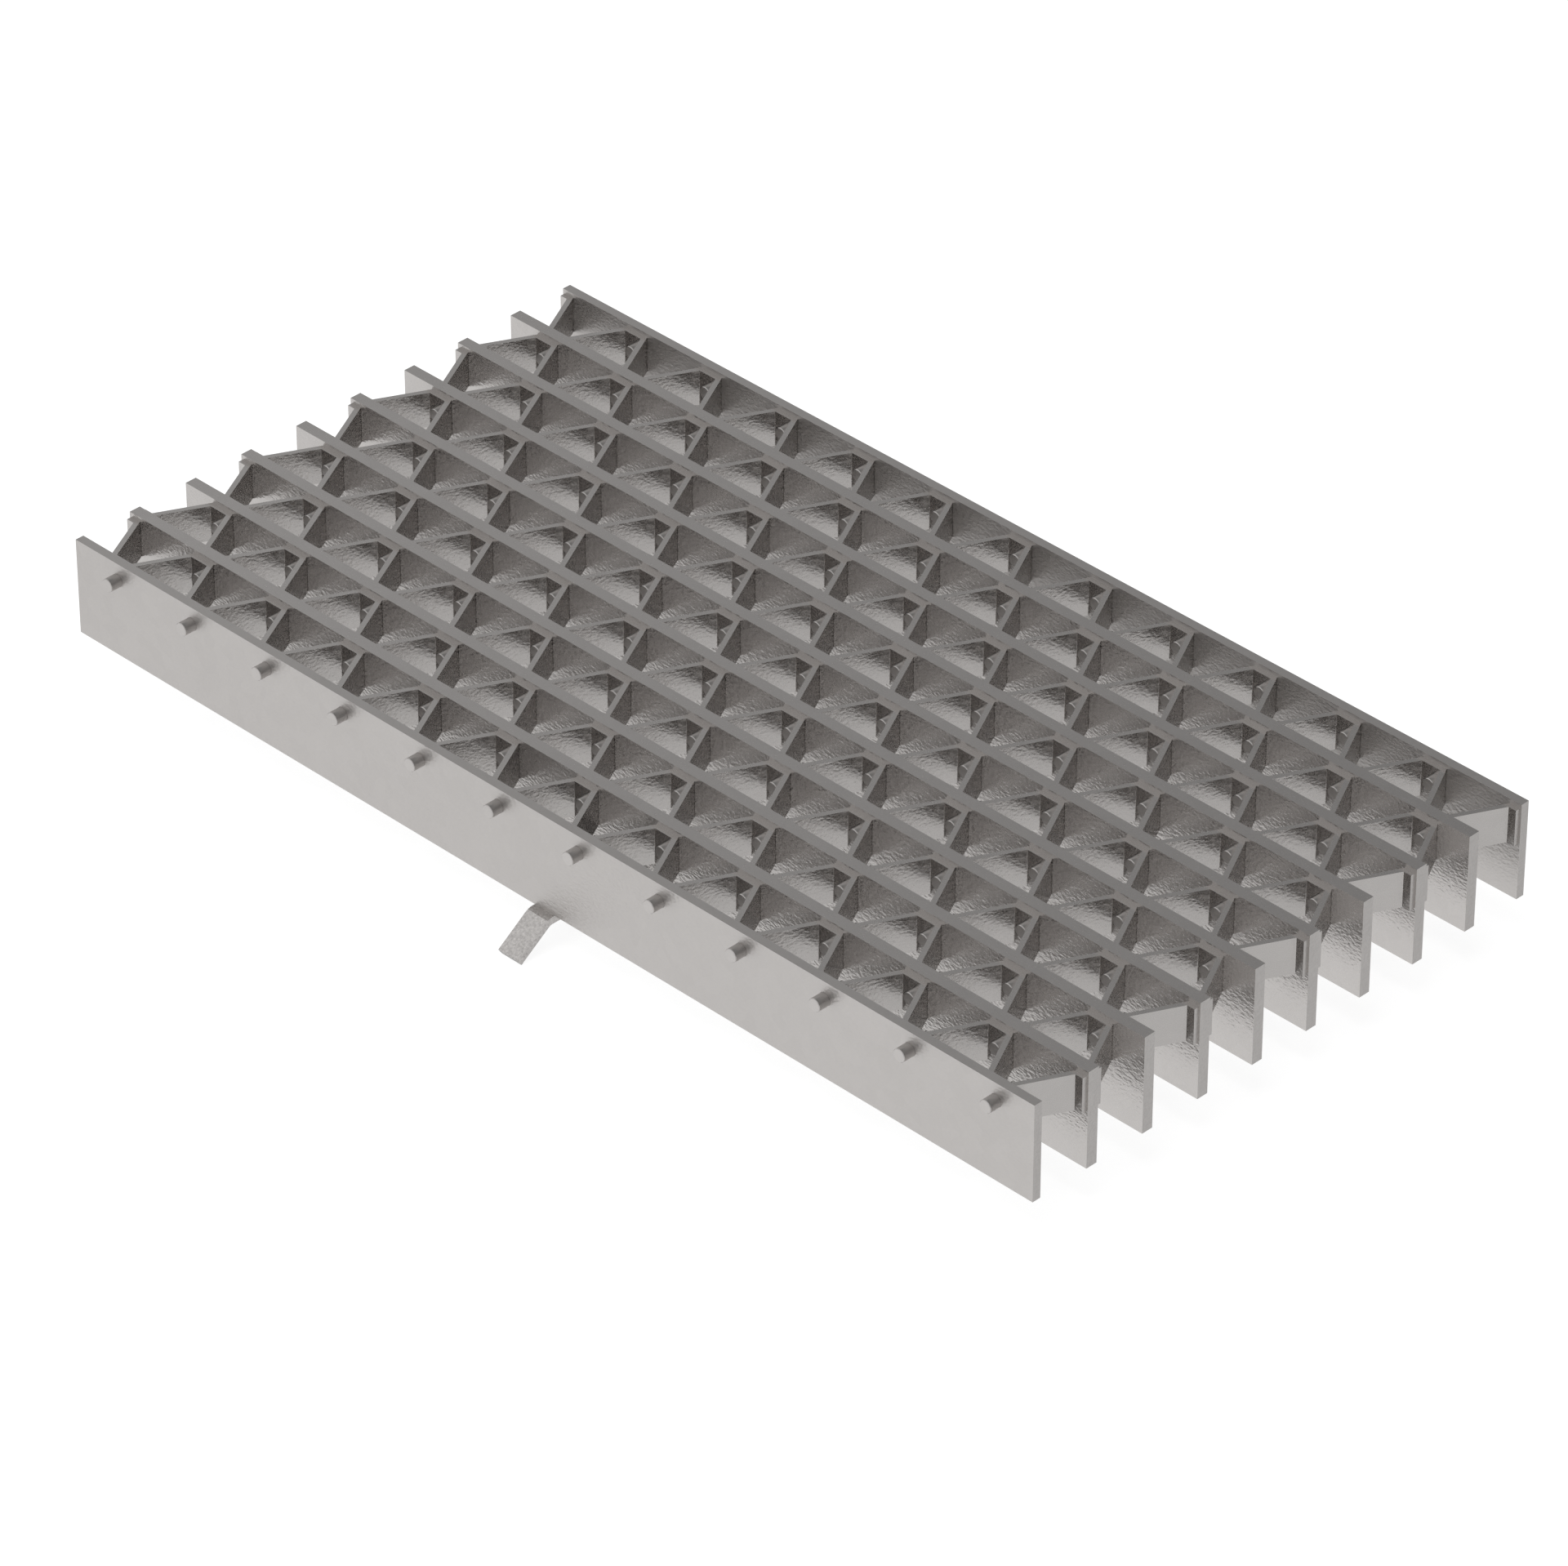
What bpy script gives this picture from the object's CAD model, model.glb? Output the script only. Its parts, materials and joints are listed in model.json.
"""Looks and studio for a riveted steel grating panel.

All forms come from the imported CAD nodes. This script gives each of them a satin
galvanised steel material, and adds the floor, the room, the lamp and the camera.
"""
import json
import math

import bpy
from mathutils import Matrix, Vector


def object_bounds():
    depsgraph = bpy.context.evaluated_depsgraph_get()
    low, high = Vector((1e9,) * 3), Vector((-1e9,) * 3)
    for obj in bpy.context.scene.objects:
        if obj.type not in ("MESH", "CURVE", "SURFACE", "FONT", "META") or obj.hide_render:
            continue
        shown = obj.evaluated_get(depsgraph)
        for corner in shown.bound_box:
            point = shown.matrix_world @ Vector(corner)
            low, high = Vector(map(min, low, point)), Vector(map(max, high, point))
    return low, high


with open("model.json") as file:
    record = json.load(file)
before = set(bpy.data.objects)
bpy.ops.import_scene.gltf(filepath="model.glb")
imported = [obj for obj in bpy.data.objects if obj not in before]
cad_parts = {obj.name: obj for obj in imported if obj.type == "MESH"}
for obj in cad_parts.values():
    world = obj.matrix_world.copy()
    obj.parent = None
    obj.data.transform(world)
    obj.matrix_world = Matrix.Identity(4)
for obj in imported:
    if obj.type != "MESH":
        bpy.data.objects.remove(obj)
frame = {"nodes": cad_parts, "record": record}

MM = 0.001

# The zinc coat against the slots' base colours: a little lighter, and less warm
COAT_TINT = Vector((1.06, 1.062, 1.078))
# How each material slot's steel differs. crinkle is the size of one wrinkle of the
# zinc coat along X, Y and Z, in metres, and depth is how deep it lies. shade makes
# the whole coat lighter, and mottle and grain are how far it swings from patch to
# patch and from speck to speck.
FINISHES = {
    "bearing_bar": {"crinkle": (2.2 * MM, 1.3 * MM, 1.3 * MM), "depth": 0.22 * MM,
                    "shade": 1.0, "roughness": 0.25, "mottle": 0.012, "grain": 0.020},
    "reticuline_bar": {"crinkle": (2.0 * MM, 2.0 * MM, 1.3 * MM), "depth": 0.14 * MM,
                       "shade": 1.0, "roughness": 0.26, "mottle": 0.020,
                       "grain": 0.020},
    "rivet": {"crinkle": (0.8 * MM, 2.4 * MM, 0.8 * MM), "depth": 0.08 * MM,
              "shade": 1.0, "roughness": 0.34, "mottle": 0.030, "grain": 0.030},
    "tab": {"crinkle": (0.8 * MM, 1.0 * MM, 0.8 * MM), "depth": 0.05 * MM,
            "shade": 1.10, "roughness": 0.24, "mottle": 0.025, "grain": 0.30},
}
# The edge bars' broad faces are duller than those inside the panel
EDGE_BAR_ROUGHNESS = 0.40
MOTTLE_SIZE = 28 * MM
GRAIN_SIZE = 1.2 * MM
# How far a speck of grain makes the coat duller or smoother
GRAIN_ROUGHNESS = 0.03
# The zinc's crystals, each a shade of its own
SPANGLE_SIZE = 7 * MM
SPANGLE_DEPTH = 0.012
# The edges' wear, within this radius of an edge. It begins where the cosine between
# the rounded normal and the true one is WORN_FROM, and is full at WORN_TO.
EDGE_RADIUS = 0.35 * MM
WORN_FROM = 0.99
WORN_TO = 0.80
WORN_BRIGHTENING = 1.06
WORN_POLISH = 0.05
# The saw's marks on the bars' ends, and how dull they leave the steel. A face counts
# as a cut end as its normal's part along X goes from CUT_FROM to CUT_TO.
CUT_FROM = 0.97
CUT_TO = 0.99
SAW_MARK_SIZE = (5 * MM, 5 * MM, 0.5 * MM)
SAW_MARK_DEPTH = 0.04
CUT_END_ROUGHNESS = 0.36
# How much of the crinkle is worn off the walking surface. A face counts as part of
# it as its normal's upward part goes from TOP_FROM to 1.
TOP_SMOOTHNESS = 0.94
TOP_FROM = 0.5
# Most of a noise texture's values lie between these
NOISE_SPAN = (0.3, 0.7)

WHITE = (1, 1, 1, 1)
# The floor's glow brings it near white, and the rest of its light takes the shadow
FLOOR_SIZE = 60.0
FLOOR_COLOUR = (0.26, 0.26, 0.26, 1)
FLOOR_GLOW = 0.88
# The room as the steel sees it. Below the horizon is a pale sweep, brightest at the
# front left and dimmest at the back left. Above it the room is brighter on the left,
# seen from the camera, than on the right, with a soft step between them. The two
# corners' glows are added to the sweep's own, and are full from SWEEP_BLEND on. The
# sweep's blend and the step's ends are cosines with the directions given here.
TO_FRONT_LEFT = (-0.7071, -0.7071, 0)
TO_BACK_LEFT = (-0.7071, 0.7071, 0)
TO_THE_RIGHT = (0.7071, 0.7071, 0)
SWEEP_GLOW = 0.77
FRONT_LEFT_GLOW = 0.25
BACK_LEFT_GLOW = -0.37
SWEEP_BLEND = 0.75
LEFT_GLOW = 0.78
RIGHT_GLOW = 0.228
STEP_FROM = -0.35
STEP_TO = 0.16
HORIZON_WIDTH = 0.12

# A soft lamp high over the panel, which gives the floor its shadow
LAMP_FROM_MIDDLE = Vector((-0.5, -0.5, 3.5))
LAMP_SIZE = 2.4
LAMP_WATTS = 60

# The camera's place and lens, which give the photo's perspective
VIEW_AZIMUTH = math.radians(45.04)
VIEW_ELEVATION = math.radians(34.99)
VIEW_DISTANCE = 3.954
VIEW_AIM_FROM_MIDDLE = Vector((0.0122, -0.0055, -0.0173))
LENS = 199.4
SENSOR_WIDTH = 36.0


class Nodes:
    """Adds and links the nodes of one material or world."""

    def __init__(self, owner):
        owner.use_nodes = True
        self.tree = owner.node_tree
        self.tree.nodes.clear()

    def add(self, kind, inputs=None, **settings):
        """A new node. inputs are sockets by name, each a value or a socket to link."""
        node = self.tree.nodes.new(kind)
        for name, value in settings.items():
            setattr(node, name, value)
        for name, value in (inputs or {}).items():
            if isinstance(value, bpy.types.NodeSocket):
                self.tree.links.new(value, node.inputs[name])
            else:
                node.inputs[name].default_value = value
        return node

    def math(self, operation, a, b=0.0):
        """The result of one Math node."""
        return self.add("ShaderNodeMath", {0: a, 1: b}, operation=operation).outputs[0]

    def vector(self, operation, a, b=(0, 0, 0)):
        """One Vector Math node."""
        return self.add("ShaderNodeVectorMath", {0: a, 1: b}, operation=operation)

    def towards(self, direction, axis):
        """How far a direction points along an axis, from -1 to 1."""
        return self.vector("DOT_PRODUCT", direction, axis).outputs["Value"]

    def mix(self, factor, a, b):
        """a where factor is 0 and b where it is 1."""
        return self.add("ShaderNodeMix", {"Factor": factor, 2: a, 3: b}).outputs[0]

    def map_range(self, value, old, new):
        """value carried from the range old to the range new, clamped."""
        return self.add("ShaderNodeMapRange", {
            "Value": value, "From Min": old[0], "From Max": old[1],
            "To Min": new[0], "To Max": new[1]}).outputs["Result"]


def noise(nodes, where, size, detail=3.0, roughness=0.55):
    """Noise from 0 to 1 with features of about that size in metres."""
    return nodes.add("ShaderNodeTexNoise", {
        "Vector": where, "Scale": 1 / size, "Detail": detail,
        "Roughness": roughness}).outputs["Fac"]


def around_one(nodes, value, depth):
    """Noise turned into a factor that swings by depth either side of 1."""
    return nodes.map_range(value, NOISE_SPAN, (1 - depth, 1 + depth))


def stretched(nodes, where, size):
    """Coordinates in which a feature of that size along X, Y and Z is one unit."""
    return nodes.add("ShaderNodeMapping", {
        "Vector": where, "Scale": tuple(1 / s for s in size)}).outputs[0]


def steel(slot, base, finish):
    """Satin galvanised steel: a crinkled coat, faint spangle, worn edges, cut ends."""
    mat = bpy.data.materials.new("steel_" + slot)
    nodes = Nodes(mat)
    where = nodes.add("ShaderNodeTexCoord").outputs["Object"]
    facing = nodes.add("ShaderNodeNewGeometry").outputs["True Normal"]

    crinkle = noise(nodes, stretched(nodes, where, finish["crinkle"]), 1, detail=2,
                    roughness=0.45)
    mottle = noise(nodes, where, MOTTLE_SIZE, detail=5, roughness=0.6)
    grain = noise(nodes, where, GRAIN_SIZE, detail=6, roughness=0.7)
    saw_marks = noise(nodes, stretched(nodes, where, SAW_MARK_SIZE), 1, detail=3)
    spangle = nodes.add("ShaderNodeTexVoronoi", {
        "Vector": where, "Scale": 1 / SPANGLE_SIZE}).outputs["Color"]
    spangle = nodes.add("ShaderNodeSeparateColor", {"Color": spangle}).outputs["Red"]

    rounded = nodes.add("ShaderNodeBevel", {"Radius": EDGE_RADIUS},
                        samples=4).outputs["Normal"]
    along = nodes.towards(rounded, facing)
    worn = nodes.map_range(along, (WORN_FROM, WORN_TO), (0, 1))
    facing_axes = nodes.add("ShaderNodeSeparateXYZ", {"Vector": facing}).outputs
    cut = nodes.map_range(nodes.math("ABSOLUTE", facing_axes["X"]),
                          (CUT_FROM, CUT_TO), (0, 1))
    crinkled = nodes.map_range(facing_axes["Z"], (TOP_FROM, 1), (1, 1 - TOP_SMOOTHNESS))

    shade = nodes.math("MULTIPLY", around_one(nodes, mottle, finish["mottle"]),
                       finish["shade"])
    shade = nodes.math("MULTIPLY", shade, around_one(nodes, grain, finish["grain"]))
    shade = nodes.math("MULTIPLY", shade, nodes.map_range(
        spangle, (0, 1), (1 - SPANGLE_DEPTH, 1 + SPANGLE_DEPTH)))
    shade = nodes.math("MULTIPLY", shade,
                       nodes.map_range(worn, (0, 1), (1, WORN_BRIGHTENING)))
    cut_shade = around_one(nodes, saw_marks, SAW_MARK_DEPTH)
    shade = nodes.math("MULTIPLY", shade, nodes.mix(cut, 1.0, cut_shade))
    colour = nodes.add("ShaderNodeVectorMath", {
        0: Vector(base) * COAT_TINT, "Scale": shade}, operation="SCALE").outputs["Vector"]

    rough = nodes.math("ADD", finish["roughness"],
                       nodes.map_range(grain, NOISE_SPAN,
                                       (-GRAIN_ROUGHNESS, GRAIN_ROUGHNESS)))
    rough = nodes.mix(cut, rough, CUT_END_ROUGHNESS)
    rough = nodes.math("SUBTRACT", rough, nodes.math("MULTIPLY", worn, WORN_POLISH))

    bump = nodes.add("ShaderNodeBump", {
        "Height": nodes.math("MULTIPLY", crinkle, crinkled), "Strength": 1.0,
        "Distance": finish["depth"]})
    shader = nodes.add("ShaderNodeBsdfPrincipled", {
        "Base Color": colour, "Metallic": 1.0, "Roughness": rough,
        "Normal": bump.outputs["Normal"]})
    nodes.add("ShaderNodeOutputMaterial", {"Surface": shader.outputs["BSDF"]})
    return mat


def dress():
    """Gives every CAD node the steel of its material slot, the edge bars' duller."""
    record = frame["record"]
    bases = {m["slot"]: m["base_color"] for m in record["materials"]}
    steels = {slot: steel(slot, bases[slot], finish)
              for slot, finish in FINISHES.items()}
    dull = dict(FINISHES["bearing_bar"], roughness=EDGE_BAR_ROUGHNESS)
    dull_steel = steel("edge_bar", bases["bearing_bar"], dull)
    for part in record["subparts"]:
        node = frame["nodes"][part["node"]]
        for material_slot in node.material_slots:
            material_slot.material = (
                dull_steel if part["node"].startswith("edge_bar")
                else steels[part["material_slot"]])


def floor_material():
    """Pale floor that keeps the panel's shadow, and that the steel doesn't reflect."""
    mat = bpy.data.materials.new("floor")
    nodes = Nodes(mat)
    paths = nodes.add("ShaderNodeLightPath").outputs
    seen = nodes.math("MAXIMUM", paths["Is Camera Ray"], paths["Is Diffuse Ray"])
    glow = nodes.add("ShaderNodeEmission", {
        "Color": WHITE,
        "Strength": nodes.math("MULTIPLY", paths["Is Camera Ray"], FLOOR_GLOW)})
    matt = nodes.add("ShaderNodeBsdfDiffuse", {"Color": FLOOR_COLOUR})
    both = nodes.add("ShaderNodeAddShader", {
        0: glow.outputs[0], 1: matt.outputs[0]})
    clear = nodes.add("ShaderNodeBsdfTransparent")
    surface = nodes.add("ShaderNodeMixShader", {
        0: seen, 1: clear.outputs[0], 2: both.outputs[0]})
    nodes.add("ShaderNodeOutputMaterial", {"Surface": surface.outputs[0]})
    mat.cycles.emission_sampling = "NONE"
    return mat


def add_floor(height):
    """A wide floor under the panel, which isn't part of it."""
    half = FLOOR_SIZE / 2
    mesh = bpy.data.meshes.new("floor")
    corners = [(-half, -half), (half, -half), (half, half), (-half, half)]
    mesh.from_pydata([(x, y, height) for x, y in corners], [], [(0, 1, 2, 3)])
    mesh.materials.append(floor_material())
    floor = bpy.data.objects.new("floor", mesh)
    bpy.context.collection.objects.link(floor)


def light_room():
    """A pale room: its glow changes round the compass and drops above the horizon."""
    world = bpy.data.worlds.new("room")
    bpy.context.scene.world = world
    nodes = Nodes(world)
    direction = nodes.add("ShaderNodeTexCoord").outputs["Generated"]
    height = nodes.add("ShaderNodeSeparateXYZ", {"Vector": direction}).outputs["Z"]
    level = nodes.vector("MULTIPLY", direction, (1, 1, 0)).outputs["Vector"]
    level = nodes.vector("NORMALIZE", level).outputs["Vector"]
    front_left = nodes.map_range(nodes.towards(level, TO_FRONT_LEFT),
                                 (0, SWEEP_BLEND), (0, FRONT_LEFT_GLOW))
    back_left = nodes.map_range(nodes.towards(level, TO_BACK_LEFT),
                                (0, SWEEP_BLEND), (0, BACK_LEFT_GLOW))
    sweep = nodes.math("ADD", nodes.math("ADD", front_left, back_left), SWEEP_GLOW)
    sweep = nodes.math("MINIMUM", sweep, 1.0)
    walls = nodes.map_range(nodes.towards(level, TO_THE_RIGHT),
                            (STEP_FROM, STEP_TO), (LEFT_GLOW, RIGHT_GLOW))
    above = nodes.map_range(height, (-HORIZON_WIDTH, HORIZON_WIDTH), (0, 1))
    glow = nodes.mix(above, sweep, walls)
    seen = nodes.add("ShaderNodeLightPath").outputs["Is Camera Ray"]
    background = nodes.add("ShaderNodeBackground", {
        "Color": WHITE, "Strength": nodes.math("MAXIMUM", glow, seen)})
    nodes.add("ShaderNodeOutputWorld", {"Surface": background.outputs[0]})


def add_lamp(name, place, target, size, watts):
    """A soft square lamp that faces the target and isn't mirrored in the steel."""
    data = bpy.data.lights.new(name, "AREA")
    data.size = size
    data.energy = watts
    lamp = bpy.data.objects.new(name, data)
    lamp.location = place
    lamp.rotation_euler = (target - place).to_track_quat("-Z", "Y").to_euler()
    lamp.visible_glossy = False
    bpy.context.collection.objects.link(lamp)


def add_camera(middle):
    """The camera, from the front right and above."""
    aim = middle + VIEW_AIM_FROM_MIDDLE
    away = Vector((math.sin(VIEW_AZIMUTH) * math.cos(VIEW_ELEVATION),
                   -math.cos(VIEW_AZIMUTH) * math.cos(VIEW_ELEVATION),
                   math.sin(VIEW_ELEVATION)))
    data = bpy.data.cameras.new("camera")
    data.sensor_fit = "HORIZONTAL"
    data.sensor_width = SENSOR_WIDTH
    data.lens = LENS
    camera = bpy.data.objects.new("camera", data)
    camera.location = aim + VIEW_DISTANCE * away
    camera.rotation_euler = (-away).to_track_quat("-Z", "Y").to_euler()
    bpy.context.collection.objects.link(camera)
    bpy.context.scene.camera = camera


cad_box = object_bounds()
low, high = Vector(cad_box[0]), Vector(cad_box[1])
middle = (low + high) / 2

dress()
add_floor(low.z)
light_room()
add_lamp("ceiling_lamp", middle + LAMP_FROM_MIDDLE, middle, LAMP_SIZE, LAMP_WATTS)
add_camera(middle)
bpy.context.scene.view_settings.view_transform = "Standard"
